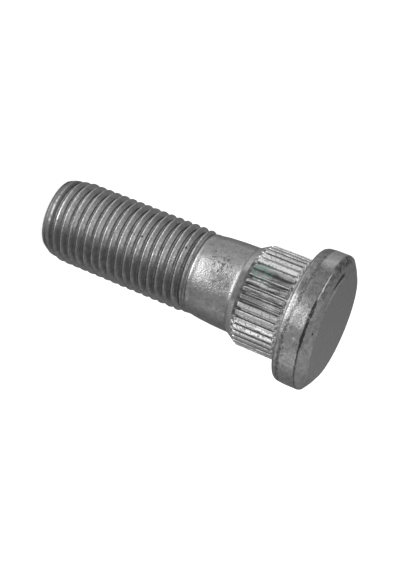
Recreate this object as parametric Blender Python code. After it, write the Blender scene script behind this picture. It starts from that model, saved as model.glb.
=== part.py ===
"""Wheel stud with a rolled thread, a tapered shank, a straight knurl and a round chamfered head.

The stud is one piece, turned about +Z. It stands on its flat thread end, with the head up.
The origin is the centre of the thread end. Every length is in metres.
"""
import math

import bmesh
import bpy

MM = 0.001

# Right-hand metric fine thread, its coated size over the crests
THREAD_DIAMETER = 11.87 * MM
THREAD_PITCH = 1.25 * MM
THREAD_DEPTH = 0.70 * MM
THREAD_CREST_FLAT = 0.16 * MM
THREAD_FLANK_ANGLE = 30.0
THREAD_LENGTH = 23.5 * MM
RUNOUT_LENGTH = 1.6 * MM
CREST_HEIGHT_AT_X = 0.44 * MM

# Chamfered thread end, and the low crests of the first turns
TIP_FLAT_DIAMETER = 9.5 * MM
TIP_CHAMFER_ANGLE = 31.0
LEAD_IN_LENGTH = 3.2 * MM
LEAD_IN_ANGLE = 12.0

# Shank: a neck at the rolling diameter, a short ramp and a slow taper up to the knurl
NECK_DIAMETER = 11.44 * MM
NECK_LENGTH = 0.45 * MM
RAMP_LENGTH = 1.0 * MM
SHANK_START_DIAMETER = 11.75 * MM
SHANK_END_DIAMETER = 12.2 * MM
SHANK_LENGTH = 4.85 * MM

# Straight knurl that presses into the hub
KNURL_DIAMETER = 14.27 * MM
KNURL_TEETH = 40
KNURL_GROOVE_DEPTH = 0.34 * MM
KNURL_GROOVE_WIDTH = 0.44 * MM
KNURL_GROOVE_FLOOR = 0.09 * MM
KNURL_LEAD_LENGTH = 1.05 * MM
TOOTH_RISE_LENGTH = 0.55 * MM
TOOTH_FULL_LENGTH = 5.15 * MM
TOOTH_END_LENGTH = 0.4 * MM
TOOTH_POINT_WIDTH = 0.40 * MM
TOOTH_POINT_LENGTH = 0.30 * MM
GROOVE_ANGLE_AT_X = 2.7

# Plain collar and fillet under the head
COLLAR_LENGTH = 0.15 * MM
HEAD_FILLET_RADIUS = 0.6 * MM

# Round head: a seat with a rounded edge, a band with draft, a rim and a slightly bulged chamfer
HEAD_DIAMETER = 18.9 * MM
HEAD_THICKNESS = 4.58 * MM
SEAT_EDGE_RADIUS = 0.55 * MM
DRAFT_DEPTH = 0.13 * MM
DRAFT_LENGTH = 0.85 * MM
HEAD_CHAMFER_HEIGHT = 1.24 * MM
CHAMFER_BULGE = 0.06 * MM
HEAD_FACE_DIAMETER = 14.96 * MM
FACE_EDGE_ROUND = 0.2 * MM

# Facets
THREAD_SEGMENTS = 36
WIDEST_RIDGE = 0.98
HEAD_SEGMENTS = 72
FILLET_STEPS = 3
SEAT_EDGE_STEPS = 4
SLIVER_HEIGHT = 0.06 * MM
SHARP_ANGLE = 32.0

THREAD_RADIUS = THREAD_DIAMETER / 2
TIP_RADIUS = TIP_FLAT_DIAMETER / 2
NECK_RADIUS = NECK_DIAMETER / 2
KNURL_RADIUS = KNURL_DIAMETER / 2
GROOVE_RADIUS = KNURL_RADIUS - KNURL_GROOVE_DEPTH
HEAD_RADIUS = HEAD_DIAMETER / 2
FACE_RADIUS = HEAD_FACE_DIAMETER / 2

# Heights, stacked up from the thread end
RAMP_START = THREAD_LENGTH + NECK_LENGTH
SHANK_START = RAMP_START + RAMP_LENGTH
LEAD_START = SHANK_START + SHANK_LENGTH
KNURL_START = LEAD_START + KNURL_LEAD_LENGTH
TEETH_FULL_FROM = KNURL_START + TOOTH_POINT_LENGTH + TOOTH_RISE_LENGTH
TEETH_FULL_TO = TEETH_FULL_FROM + TOOTH_FULL_LENGTH
KNURL_END = TEETH_FULL_TO + TOOTH_END_LENGTH
FILLET_START = KNURL_END + COLLAR_LENGTH
HEAD_SEAT = FILLET_START + HEAD_FILLET_RADIUS
HEAD_END = HEAD_SEAT + HEAD_THICKNESS


def clear_scene():
    for item in list(bpy.data.objects):
        bpy.data.objects.remove(item, do_unlink=True)


def polar(radius, angle, height):
    return (radius * math.cos(angle), radius * math.sin(angle), height)


def add_face(bm, corners):
    """A face through the corners that differ, or none where they close up to a line."""
    distinct = []
    for corner in corners:
        if corner not in distinct:
            distinct.append(corner)
    if len(distinct) > 2:
        bm.faces.new(distinct)


def thread_form(phase):
    """Radius of the endless thread; phase counts pitches up from the middle of a crest."""
    from_crest = abs(phase - round(phase)) * THREAD_PITCH
    down_flank = max(0.0, from_crest - THREAD_CREST_FLAT / 2)
    depth = down_flank / math.tan(math.radians(THREAD_FLANK_ANGLE))
    return THREAD_RADIUS - min(THREAD_DEPTH, depth)


def tip_limit(height):
    """Largest radius near the thread end: its chamfer, then the low crests of the first turns."""
    chamfer = TIP_RADIUS + height * math.tan(math.radians(TIP_CHAMFER_ANGLE))
    short_of_full = max(0.0, LEAD_IN_LENGTH - height)
    lead_in = THREAD_RADIUS - short_of_full * math.tan(math.radians(LEAD_IN_ANGLE))
    return min(chamfer, lead_in)


def thread_radius(height, phase):
    """The thread from the chamfered end to where it runs out into the neck."""
    fade = min(1.0, max(0.0, (THREAD_LENGTH - height) / RUNOUT_LENGTH))
    rolled = NECK_RADIUS + (thread_form(phase) - NECK_RADIUS) * fade
    return min(rolled, tip_limit(height))


def thread_rows():
    """The helical rows of the thread, four a turn, in pitches above the crest at +X."""
    crest = THREAD_CREST_FLAT / 2 / THREAD_PITCH
    flank = THREAD_DEPTH * math.tan(math.radians(THREAD_FLANK_ANGLE)) / THREAD_PITCH
    root = min(crest + flank, WIDEST_RIDGE / 2)
    first = -2 - math.ceil(CREST_HEIGHT_AT_X / THREAD_PITCH)
    last = 1 + math.ceil(THREAD_LENGTH / THREAD_PITCH)
    rows = []
    for turn in range(first, last + 1):
        rows += [turn - crest, turn + crest, turn + root, turn + 1 - root]
    return rows


def thread_column(bm, rows, turned):
    """Points up the thread at one angle; rows past either end share that end's point."""
    angle = 2 * math.pi * turned
    foot = bm.verts.new(polar(TIP_RADIUS, angle, 0.0))
    top = bm.verts.new(polar(NECK_RADIUS, angle, THREAD_LENGTH))
    column = []
    for row in rows:
        height = CREST_HEIGHT_AT_X + (row + turned) * THREAD_PITCH
        if height < SLIVER_HEIGHT:
            column.append(foot)
        elif height > THREAD_LENGTH - SLIVER_HEIGHT:
            column.append(top)
        else:
            column.append(bm.verts.new(polar(thread_radius(height, row), angle, height)))
    return column


def add_thread(bm):
    """Lofts the thread along its helix and returns its rings at the end face and the neck."""
    rows = thread_rows()
    columns = [thread_column(bm, rows, k / THREAD_SEGMENTS) for k in range(THREAD_SEGMENTS)]
    one_turn_up = columns[0][4:] + [columns[0][-1]] * 4
    for left, right in zip(columns, columns[1:] + [one_turn_up]):
        for i in range(len(rows) - 1):
            add_face(bm, [left[i], right[i], right[i + 1], left[i + 1]])
    return [column[0] for column in columns], [column[-1] for column in columns]


def round_ring(bm, radius, height, segments):
    return [bm.verts.new(polar(radius, 2 * math.pi * k / segments, height)) for k in range(segments)]


def join_rings(bm, lower, upper):
    """Quads between two rings with the same number of points."""
    for k in range(len(lower)):
        after = (k + 1) % len(lower)
        add_face(bm, [lower[k], lower[after], upper[after], upper[k]])


def ring_angle(vert, first_angle):
    """Angle of a ring's point, counted up from the angle of the ring's first point."""
    return (math.atan2(vert.co.y, vert.co.x) - first_angle) % (2 * math.pi)


def stitch_rings(bm, lower, upper):
    """Triangles between two rings with different numbers of points, both in order of angle."""
    start = math.atan2(lower[0].co.y, lower[0].co.x)
    nearest = min(range(len(upper)), key=lambda k: (ring_angle(upper[k], start) + 1e-6) % (2 * math.pi))
    upper = upper[nearest:] + upper[:nearest]
    low_angles = [ring_angle(vert, start) for vert in lower[1:]] + [2 * math.pi]
    high_angles = [ring_angle(vert, start) for vert in upper[1:]]
    high_angles.append(2 * math.pi + ring_angle(upper[0], start))
    i = 0
    j = 0
    while i < len(lower) or j < len(upper):
        low = lower[i % len(lower)]
        high = upper[j % len(upper)]
        step_low = j == len(upper) or (i < len(lower) and low_angles[i] <= high_angles[j])
        if step_low:
            add_face(bm, [low, lower[(i + 1) % len(lower)], high])
            i += 1
        else:
            add_face(bm, [low, upper[(j + 1) % len(upper)], high])
            j += 1


def turn_profile(bm, ring, profile, segments):
    """Carries a ring on up through the profile's (radius, height) points; returns the last ring."""
    for radius, height in profile:
        upper = round_ring(bm, radius, height, segments)
        if len(upper) == len(ring):
            join_rings(bm, ring, upper)
        else:
            stitch_rings(bm, ring, upper)
        ring = upper
    return ring


def knurl_ring(bm, crest_radius, crest_width, height):
    """One ring round the knurl: two points on each tooth's top and two on each groove's floor."""
    pitch = 2 * math.pi / KNURL_TEETH
    half_crest = crest_width / 2 / KNURL_RADIUS
    half_floor = KNURL_GROOVE_FLOOR / 2 / KNURL_RADIUS
    ring = []
    for tooth in range(KNURL_TEETH):
        groove = math.radians(GROOVE_ANGLE_AT_X) + tooth * pitch
        middle = groove + pitch / 2
        ring.append(bm.verts.new(polar(GROOVE_RADIUS, groove - half_floor, height)))
        ring.append(bm.verts.new(polar(GROOVE_RADIUS, groove + half_floor, height)))
        ring.append(bm.verts.new(polar(crest_radius, middle - half_crest, height)))
        ring.append(bm.verts.new(polar(crest_radius, middle + half_crest, height)))
    return ring


def add_knurl(bm, ring):
    """Straight teeth that rise out of the lead cone, at its slope, and end in a rounded step."""
    full_width = 2 * math.pi * KNURL_RADIUS / KNURL_TEETH - KNURL_GROOVE_WIDTH
    middle_width = (TOOTH_POINT_WIDTH + full_width) / 2
    lead_slope = (GROOVE_RADIUS - SHANK_END_DIAMETER / 2) / KNURL_LEAD_LENGTH
    point_crest = min(KNURL_RADIUS, GROOVE_RADIUS + lead_slope * TOOTH_POINT_LENGTH)
    round_share = math.sin(math.radians(45))
    end_crest = GROOVE_RADIUS + KNURL_GROOVE_DEPTH * round_share
    stations = [
        (GROOVE_RADIUS, TOOTH_POINT_WIDTH, KNURL_START),
        (point_crest, middle_width, KNURL_START + TOOTH_POINT_LENGTH),
        (KNURL_RADIUS, full_width, TEETH_FULL_FROM),
        (KNURL_RADIUS, full_width, TEETH_FULL_TO),
        (end_crest, middle_width, TEETH_FULL_TO + TOOTH_END_LENGTH * round_share),
        (GROOVE_RADIUS, TOOTH_POINT_WIDTH, KNURL_END),
    ]
    for crest_radius, width, height in stations:
        upper = knurl_ring(bm, crest_radius, width, height)
        if len(upper) == len(ring):
            join_rings(bm, ring, upper)
        else:
            stitch_rings(bm, ring, upper)
        ring = upper
    return ring


def arc(centre_radius, centre_height, radius, start_degrees, end_degrees, steps):
    """Profile points along an arc, its first point left out."""
    points = []
    for k in range(1, steps + 1):
        angle = math.radians(start_degrees + (end_degrees - start_degrees) * k / steps)
        points.append((centre_radius + radius * math.cos(angle), centre_height + radius * math.sin(angle)))
    return points


def shank_profile():
    return [
        (NECK_RADIUS, RAMP_START),
        (SHANK_START_DIAMETER / 2, SHANK_START),
        (SHANK_END_DIAMETER / 2, LEAD_START),
    ]


def head_profile():
    """Collar, fillet, flat seat, rounded edge, draft band, rim, chamfer and the outer face's rim."""
    fillet_centre = GROOVE_RADIUS + HEAD_FILLET_RADIUS
    edge_centre = HEAD_RADIUS - DRAFT_DEPTH - SEAT_EDGE_RADIUS
    band_start = HEAD_SEAT + SEAT_EDGE_RADIUS
    rim_top = HEAD_END - HEAD_CHAMFER_HEIGHT
    chamfer_run = HEAD_RADIUS - FACE_RADIUS
    slope = math.hypot(chamfer_run, HEAD_CHAMFER_HEIGHT)
    inward = chamfer_run / slope
    upward = HEAD_CHAMFER_HEIGHT / slope
    chamfer_middle = (
        HEAD_RADIUS - chamfer_run / 2 + CHAMFER_BULGE * upward,
        rim_top + HEAD_CHAMFER_HEIGHT / 2 + CHAMFER_BULGE * inward,
    )
    profile = [(GROOVE_RADIUS, FILLET_START)]
    profile += arc(fillet_centre, FILLET_START, HEAD_FILLET_RADIUS, 180, 90, FILLET_STEPS)
    profile.append((edge_centre, HEAD_SEAT))
    profile += arc(edge_centre, band_start, SEAT_EDGE_RADIUS, -90, 0, SEAT_EDGE_STEPS)
    profile.append((HEAD_RADIUS, band_start + DRAFT_LENGTH))
    profile.append((HEAD_RADIUS, rim_top))
    profile.append(chamfer_middle)
    profile.append((FACE_RADIUS + FACE_EDGE_ROUND * inward, HEAD_END - FACE_EDGE_ROUND * upward))
    profile.append((FACE_RADIUS - FACE_EDGE_ROUND, HEAD_END))
    return profile


def zinc_steel():
    """Dull grey zinc coating on steel."""
    material = bpy.data.materials.new("zinc_steel")
    material.use_nodes = True
    shader = material.node_tree.nodes["Principled BSDF"]
    shader.inputs["Base Color"].default_value = (0.42, 0.42, 0.42, 1.0)
    shader.inputs["Metallic"].default_value = 0.85
    shader.inputs["Roughness"].default_value = 0.45
    return material


def build_wheel_stud():
    """The whole stud as one closed surface, from the thread end up to the head's face."""
    bm = bmesh.new()
    end_ring, ring = add_thread(bm)
    bm.faces.new(list(reversed(end_ring)))
    ring = turn_profile(bm, ring, shank_profile(), THREAD_SEGMENTS)
    ring = add_knurl(bm, ring)
    ring = turn_profile(bm, ring, head_profile(), HEAD_SEGMENTS)
    bm.faces.new(ring)
    mesh = bpy.data.meshes.new("wheel_stud")
    bm.to_mesh(mesh)
    bm.free()
    mesh.shade_smooth()
    mesh.set_sharp_from_angle(angle=math.radians(SHARP_ANGLE))
    mesh.materials.append(zinc_steel())
    stud = bpy.data.objects.new("wheel_stud", mesh)
    bpy.context.scene.collection.objects.link(stud)


clear_scene()
build_wheel_stud()
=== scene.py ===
"""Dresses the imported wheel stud: one fine mesh of thread, shank, knurl and head in a worn zinc finish."""
import math
from collections import Counter
from typing import NamedTuple

import bpy
from mathutils import Matrix, Vector, noise


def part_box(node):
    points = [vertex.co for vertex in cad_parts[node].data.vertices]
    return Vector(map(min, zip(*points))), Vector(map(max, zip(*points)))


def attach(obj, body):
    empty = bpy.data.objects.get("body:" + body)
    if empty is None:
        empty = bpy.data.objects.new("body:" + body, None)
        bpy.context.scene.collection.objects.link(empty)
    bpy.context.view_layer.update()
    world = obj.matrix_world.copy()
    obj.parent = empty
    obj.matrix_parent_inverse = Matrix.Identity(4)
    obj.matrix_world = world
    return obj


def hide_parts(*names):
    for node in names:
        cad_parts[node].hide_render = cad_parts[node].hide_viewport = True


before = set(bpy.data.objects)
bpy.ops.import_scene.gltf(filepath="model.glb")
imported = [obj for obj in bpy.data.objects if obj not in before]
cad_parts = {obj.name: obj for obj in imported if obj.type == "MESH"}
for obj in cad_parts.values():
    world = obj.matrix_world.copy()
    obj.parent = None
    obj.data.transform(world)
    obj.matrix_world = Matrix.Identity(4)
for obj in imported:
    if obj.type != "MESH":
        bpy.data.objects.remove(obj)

bl_info = {
    "name": "Wheel Stud",
    "version": (1, 0, 0),
    "blender": (4, 5, 0),
    "location": "View3D > Sidebar > Wheel Stud",
    "description": "Models a zinc-coated wheel stud with its thread, knurl and head",
    "category": "Add Mesh",
}

NODE = "wheel_stud"
MM = 0.001
# The head is made this much smaller than the solid's, so that it stays inside the solid's box
HAIR = 0.001 * MM
CAD_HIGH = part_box(NODE)[1]
HEAD_RADIUS = CAD_HIGH.x - HAIR
HEAD_END = CAD_HIGH.z

# Mesh fineness: columns round the thread and shank, across each tooth and round the head
THREAD_COLUMNS = 160
TOOTH_COLUMNS = 12
HEAD_COLUMNS = 240
LONGEST_STEP = 0.27 * MM
OUTLINE_STEP = 0.4 * MM
MERGE = 0.002 * MM
SMOOTH_BELOW = math.radians(40)

# Points this near the thread's ends are put onto them, and points this near the knurl's ends aren't worn
END_MARGIN = 0.03 * MM
KNURL_MARGIN = 0.02 * MM
# The gap between cone and knurl, which is bridged once they are joined
CONE_GAP = 0.08 * MM
# How far the cone's end lies inside the floor of the knurl's grooves
CONE_SINK = 0.05 * MM
# Radii of the bends along the shank: at the neck, past the ramp, in the middle, before the bead, on its edge
NECK_BEND = 0.3 * MM
RAMP_BEND = 12.0 * MM
MIDDLE_BEND = 30.0 * MM
BEAD_BEND = 1.5 * MM
BEAD_EDGE = 0.05 * MM
# Radius of the bend between the head's drawn-in band and its rim
BAND_BEND = 0.1 * MM
# The seam's deepest line lies this far below its middle, and its upper edge this far above its width
SEAM_LOW = 0.03 * MM
SEAM_HIGH = 0.02 * MM
# Fillet of the small edges beside the seam
SMALL_FILLET = 0.03 * MM

# Rows of points along a tooth, in millimetres, closer together where it rises and where it ends
TOOTH_ROWS = (
    0.0, 0.1, 0.2, 0.3, 0.4, 0.5, 0.56, 0.7, 0.85,
    1.2, 1.6, 2.0, 2.4, 2.8, 3.2, 3.6, 4.0, 4.4, 4.8, 5.2,
    5.5, 5.75, 5.9, 6.0, 6.1, 6.2, 6.28, 6.34, 6.4,
)
# How deep a tooth's top edges lie, as a share of the groove's depth, and how sharply its crown bends to them
CROWN = 0.07
CROWN_POWER = 6
# How much deeper a wall lies the nearer it is to the middle of its tooth, as a share of the groove's depth
WALL_LEAN = 0.08


def length(name, millimetres, description):
    """A length property, whose default is given in millimetres."""
    return bpy.props.FloatProperty(
        name=name, description=description, default=millimetres * MM, unit="LENGTH", precision=5
    )


def angle(name, degrees, description):
    """An angle property, whose default is given in degrees."""
    return bpy.props.FloatProperty(
        name=name, description=description, default=math.radians(degrees), subtype="ANGLE"
    )


def grey(name, value, description):
    """A grey from 0, black, to 1, white."""
    return bpy.props.FloatProperty(
        name=name, description=description, default=value, min=0.0, max=1.0, subtype="FACTOR"
    )


def colour(name, value, description):
    """A colour property with red, green and blue from 0 to 1."""
    return bpy.props.FloatVectorProperty(
        name=name, description=description, default=value, size=3, min=0.0, max=1.0, subtype="COLOR"
    )


class ThreadSettings(bpy.types.PropertyGroup):
    diameter: length("Diameter", 11.87, "Diameter over the thread's crests")
    pitch: length("Pitch", 1.25, "Height that one turn climbs")
    depth: length("Depth", 0.70, "Depth from crest to root")
    crest: length("Crest flat", 0.16, "Width of the flat on a crest")
    crest_fillet: length("Crest fillet", 0.045, "Radius of a crest's edges")
    root_fillet: length("Root fillet", 0.15, "Radius of the corners of a root")
    flank: angle("Flank angle", 30, "Angle of a flank from straight across the stud")
    height: length("Length", 23.5, "Height at which the thread has run out")
    runout: length("Run-out", 1.6, "Length over which the groove grows shallow")
    start: length("Start", 0.44, "Height of the first crest at +X")
    tip: length("Tip diameter", 9.5, "Diameter that the end cone would have at the very end")
    cone: angle("End cone", 31, "Angle of the end cone's side from the stud's axis")
    young: length("Low crests", 3.2, "Length at the end over which the crests are lower")
    young_slope: angle("Low crest slope", 12, "Angle at which the low crests rise")
    flat: length("End diameter", 7.8, "Diameter of the flat end where its edge is rounded most")
    lip: length("End edge", 0.3, "Height of the rounded edge of the end")
    bruise: angle("Rounded side", -75, "Angle from +X of the side where the end's edge is rounded most")
    fuller: length("End fullness", 0.26, "How much the end cone stands out on its full side")
    full_side: angle("Full side", -160, "Angle from +X of the side where the end cone stands out most")


class ShankSettings(bpy.types.PropertyGroup):
    neck: length("Neck diameter", 11.44, "Diameter beside the thread's run-out")
    neck_length: length("Neck length", 0.45, "Length of the neck")
    ramp: length("Ramp length", 1.0, "Length of the step from neck to shank")
    lower: length("Lower diameter", 11.75, "Shank diameter at the ramp")
    upper: length("Upper diameter", 12.2, "Shank diameter at the knurl")
    taper: length("Taper length", 4.85, "Length of the tapered shank")
    middle: length("Middle rise", 0.17, "How far the shank's middle stands out past its lower end")
    bead: length("Bead length", 0.32, "Length of the bead before the lead cone")
    bead_out: length("Bead radius", 0.05, "How far the bead's edge stands out past the upper diameter")
    bead_rise: length("Bead rise", 0.06, "How far the bead rises from the shank before it")
    bead_end: length("Bead end", 0.04, "Distance from the bead's edge to the lead cone")


class KnurlSettings(bpy.types.PropertyGroup):
    teeth: bpy.props.IntProperty(
        name="Teeth", description="Number of straight teeth", default=40, min=8
    )
    diameter: length("Diameter", 14.27, "Diameter over the teeth")
    depth: length("Groove depth", 0.34, "Depth of the grooves")
    groove: length("Groove width", 0.44, "Width of a groove at the top")
    wall: length("Wall width", 0.13, "Width of a groove's wall, seen from outside")
    lead: length("Lead cone", 1.05, "Length of the cone below the teeth")
    rise: length("Tooth rise", 0.85, "Length over which a tooth grows to its width")
    climb: length("Tooth climb", 0.55, "Length over which a tooth rises to its height")
    full: length("Tooth length", 5.15, "Length of a tooth at its full height")
    fall: length("Tooth end", 0.4, "Length of a tooth's rounded end")
    point: length("Point width", 0.40, "Width of a tooth where it starts")
    phase: angle("Groove angle", 2.7, "Angle of the first groove from +X")


class HeadSettings(bpy.types.PropertyGroup):
    thickness: length("Thickness", 4.58, "Thickness from the seat to the outer face")
    collar: length("Collar", 0.10, "Length of the plain collar below the fillet")
    fillet: length("Fillet", 0.6, "Fillet radius under the head")
    seat_edge: length("Seat edge", 0.55, "Radius of the seat's outer edge")
    draft_depth: length("Draft depth", 0.13, "How far the lower band is drawn in")
    draft: length("Draft length", 0.85, "Height of the drawn-in band")
    chamfer: length("Chamfer height", 1.24, "Height of the outer chamfer")
    chamfer_edge: length("Chamfer edge", 0.045, "How far the chamfer's lower edge lies in from the rim")
    bulge_in: length("Bulge place", 0.93, "How far in from the rim the chamfer bends")
    bulge_up: length("Bulge height", 0.70, "Height above the rim at which the chamfer bends")
    bulge: length("Bulge radius", 1.5, "Radius of the bend in the chamfer")
    face: length("Face diameter", 14.96, "Diameter of the flat outer face")
    face_edge: length("Face edge", 0.25, "Radius of the outer face's edge")
    seam: length("Seam width", 0.16, "Width of the seam between rim and chamfer")
    seam_depth: length("Seam depth", 0.10, "Depth of the seam")


class FinishSettings(bpy.types.PropertyGroup):
    thread: grey("Thread", 0.56, "Grey of the coating on the thread")
    shank: grey("Shank", 0.54, "Grey of the coating on the shank")
    # The knurl's grey is lighter than the other zinc, partly for its bare tooth tops and partly as painted
    # light
    knurl: grey("Knurl", 0.86, "Grey of the coating on the knurl")
    head: grey("Head", 0.48, "Grey of the coating on the head's rim and chamfer")
    face: grey("Face", 0.53, "Grey of the coating on the outer face")
    smear: colour("Smear", (0.30, 0.42, 0.38), "Colour of the smear on the knurl")
    floor: colour("Floor", (0.9, 0.9, 0.9), "Colour of the floor")


class Places(NamedTuple):
    """Heights above the thread's end and radii, in millimetres, that wear and painted light are placed by.
    """

    crest_radius: float
    shank_radius: float
    tooth_radius: float
    face_radius: float
    rim_radius: float
    runout: float
    cone: float
    knurl: float
    knurl_end: float
    seat: float
    seam: float
    end: float


def find_places(thread, shank, knurl, head):
    """Works the places out from the sizes."""
    cone = thread.height + shank.neck_length + shank.ramp + shank.taper
    start = cone + knurl.lead
    metres = Places(
        crest_radius=thread.diameter / 2,
        shank_radius=(shank.lower + shank.upper) / 4,
        tooth_radius=knurl.diameter / 2,
        face_radius=head.face / 2,
        rim_radius=HEAD_RADIUS,
        runout=thread.height,
        cone=cone,
        knurl=start,
        knurl_end=start + knurl.rise + knurl.full + knurl.fall,
        seat=HEAD_END - head.thickness,
        seam=HEAD_END - head.chamfer,
        end=HEAD_END,
    )
    return Places(*(value / MM for value in metres))


def filleted(corners):
    """Profile points through (radius, height, fillet, steps) corners, rounded where fillet isn't 0."""
    points = []
    for i, (radius, height, fillet, steps) in enumerate(corners):
        corner = Vector((radius, height))
        if not fillet:
            points.append(corner)
            continue
        back = (Vector(corners[i - 1][:2]) - corner).normalized()
        on = (Vector(corners[i + 1][:2]) - corner).normalized()
        half = back.angle(on) / 2
        centre = corner + (back + on).normalized() * fillet / math.sin(half)
        first = (corner + back * fillet / math.tan(half) - centre).normalized()
        last = (corner + on * fillet / math.tan(half) - centre).normalized()
        points += [centre + first.slerp(last, k / steps) * fillet for k in range(steps + 1)]
    return points


def divided(points, longest):
    """The same profile, with points added so that no step is longer than the given length."""
    result = [points[0]]
    for before, after in zip(points, points[1:]):
        parts = max(1, math.ceil((after - before).length / longest))
        result += [before.lerp(after, k / parts) for k in range(1, parts + 1)]
    return result


def deselect_all():
    """Leaves edit mode and deselects every object."""
    if bpy.context.mode != "OBJECT":
        bpy.ops.object.mode_set(mode="OBJECT")
    bpy.ops.object.select_all(action="DESELECT")


def merge_close_points():
    """Merges the points of the active piece that lie on each other."""
    bpy.ops.object.mode_set(mode="EDIT")
    bpy.ops.mesh.select_all(action="SELECT")
    bpy.ops.mesh.remove_doubles(threshold=MERGE)
    bpy.ops.object.mode_set(mode="OBJECT")


def draw_profile(name, points):
    """A chain of edges in the XZ plane, extruded point by point from one vertex."""
    deselect_all()
    first = points[0]
    bpy.ops.mesh.primitive_plane_add(size=MM, location=(first.x, 0, first.y))
    piece = bpy.context.object
    piece.name = name
    bpy.ops.object.transform_apply(location=True)
    bpy.ops.object.mode_set(mode="EDIT")
    bpy.ops.mesh.merge(type="CENTER")
    for before, after in zip(points, points[1:]):
        step = (after.x - before.x, 0, after.y - before.y)
        bpy.ops.mesh.extrude_vertices_move(TRANSFORM_OT_translate={"value": step})
    bpy.ops.object.mode_set(mode="OBJECT")
    return piece


def turn(name, points, columns):
    """A turned shell: the profile spun once round the stud's axis."""
    piece = draw_profile(name, points)
    bpy.ops.object.mode_set(mode="EDIT")
    bpy.ops.mesh.select_all(action="SELECT")
    bpy.ops.mesh.spin(steps=columns, angle=2 * math.pi, center=(0, 0, 0), axis=(0, 0, 1))
    merge_close_points()
    return piece


def move_points(piece, mover):
    """Puts every vertex where mover says for its radius, angle and height."""
    for vert in piece.data.vertices:
        x, y, z = vert.co
        radius, turned, height = mover(math.hypot(x, y), math.atan2(y, x), z)
        vert.co = (radius * math.cos(turned), radius * math.sin(turned), height)
    piece.data.update()


def share(value, low, high):
    """0 at low, 1 at high and straight between them."""
    return min(1.0, max(0.0, (value - low) / (high - low)))


def swing(turned, waves, layer):
    """A soft wave round the stud, from about -1 to 1, with more waves the larger the number."""
    return noise.noise(Vector((waves * math.cos(turned), waves * math.sin(turned), layer)))


def nick(radius, turned, height, scale, depth):
    """How deep the surface is worn at a place, from 0 to about the depth in millimetres."""
    where = Vector((radius * math.cos(turned), radius * math.sin(turned), height)) * (scale / MM)
    return max(0.0, noise.noise(where)) * depth * MM


def thread_outline(thread):
    """One pitch of the thread, from the middle of a root to the middle of the next."""
    crest = thread.diameter / 2
    root = crest - thread.depth
    flank = thread.depth * math.tan(thread.flank)
    side = thread.crest / 2
    half = thread.pitch / 2
    corners = [
        (root, -half, 0, 0),
        (root, -side - flank, thread.root_fillet, 3),
        (crest, -side, thread.crest_fillet, 2),
        (crest, side, thread.crest_fillet, 2),
        (root, side + flank, thread.root_fillet, 3),
        (root, half, 0, 0),
    ]
    return divided(filleted(corners), OUTLINE_STEP)


def make_thread(thread, neck_radius):
    """The thread as one screwed shell, let in over the chamfered end and run out to the neck."""
    outline = thread_outline(thread)
    # It starts two turns below the first crest and goes on past the run-out, and both ends are pressed flat
    first = thread.start - 2 * thread.pitch
    piece = draw_profile("thread", [point + Vector((0, first)) for point in outline])
    bpy.ops.object.modifier_add(type="SCREW")
    screw = piece.modifiers[-1]
    screw.angle = 2 * math.pi
    screw.screw_offset = thread.pitch
    screw.iterations = math.ceil(thread.height / thread.pitch) + 3
    screw.steps = THREAD_COLUMNS
    screw.render_steps = THREAD_COLUMNS
    bpy.ops.object.modifier_apply(modifier=screw.name)
    crest = thread.diameter / 2
    slope = math.tan(thread.cone)
    edge = thread.tip / 2 + thread.lip * slope
    least_rounding = 0.05 * MM
    worn_from = crest - 0.12 * MM

    def shaped(radius, turned, height):
        rounding = (thread.tip - thread.flat) / 2 * max(0.0, math.cos(turned - thread.bruise))
        fuller = thread.fuller * max(0.0, math.cos(turned - thread.full_side)) ** 2
        flat = thread.tip / 2 - rounding + fuller
        if height <= END_MARGIN:
            return flat, turned, 0.0
        if height >= thread.height - END_MARGIN:
            return neck_radius, turned, thread.height
        kept = min(1.0, (thread.height - height) / thread.runout)
        if height < thread.lip and rounding > least_rounding:
            chamfer = flat + (edge + fuller - flat) * math.sqrt(height / thread.lip)
        else:
            chamfer = thread.tip / 2 + fuller + height * slope
        low_crest = crest - max(0.0, thread.young - height) * math.tan(thread.young_slope)
        result = min(neck_radius + (radius - neck_radius) * kept, chamfer, low_crest)
        if radius > worn_from:
            result -= nick(radius, turned, height, scale=3.0, depth=0.07)
        return result, turned, height

    move_points(piece, shaped)
    merge_close_points()
    return piece


def make_shank(thread, shank, knurl):
    """Neck, ramp, tapered shank with its bead, and the cone that leads into the knurl."""
    ramp = thread.height + shank.neck_length
    taper = ramp + shank.ramp
    cone = taper + shank.taper
    bead_edge = cone - shank.bead_end
    bead_radius = shank.upper / 2 + shank.bead_out
    cone_end = knurl.diameter / 2 - knurl.depth - CONE_SINK
    corners = [
        (shank.neck / 2, thread.height, 0, 0),
        (shank.neck / 2, ramp, NECK_BEND, 2),
        (shank.lower / 2, taper, RAMP_BEND, 6),
        (shank.lower / 2 + shank.middle, taper + shank.taper / 2, MIDDLE_BEND, 4),
        (bead_radius - shank.bead_rise, bead_edge - shank.bead, BEAD_BEND, 2),
        (bead_radius, bead_edge, BEAD_EDGE, 2),
        (cone_end, cone + knurl.lead - CONE_GAP, 0, 0),
    ]
    return turn("shank", divided(filleted(corners), LONGEST_STEP), THREAD_COLUMNS)


def rounded_end(left, reach, least=0.0):
    """A quarter circle that falls from 1 to 0 over the last reach of a tooth's end."""
    return math.sqrt(max(least, 1 - (1 - min(left, reach) / reach) ** 2))


def tooth_depth(away, top, wall):
    """Depth at a place across a tooth: about 0 on its top, 1 on the floor of the groove."""
    if away < top:
        return CROWN * (away / top) ** CROWN_POWER
    depth = min(1.0, CROWN + (away - top) / wall)
    return min(1.0, depth + WALL_LEAN * max(0.0, 1 - away))


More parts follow.
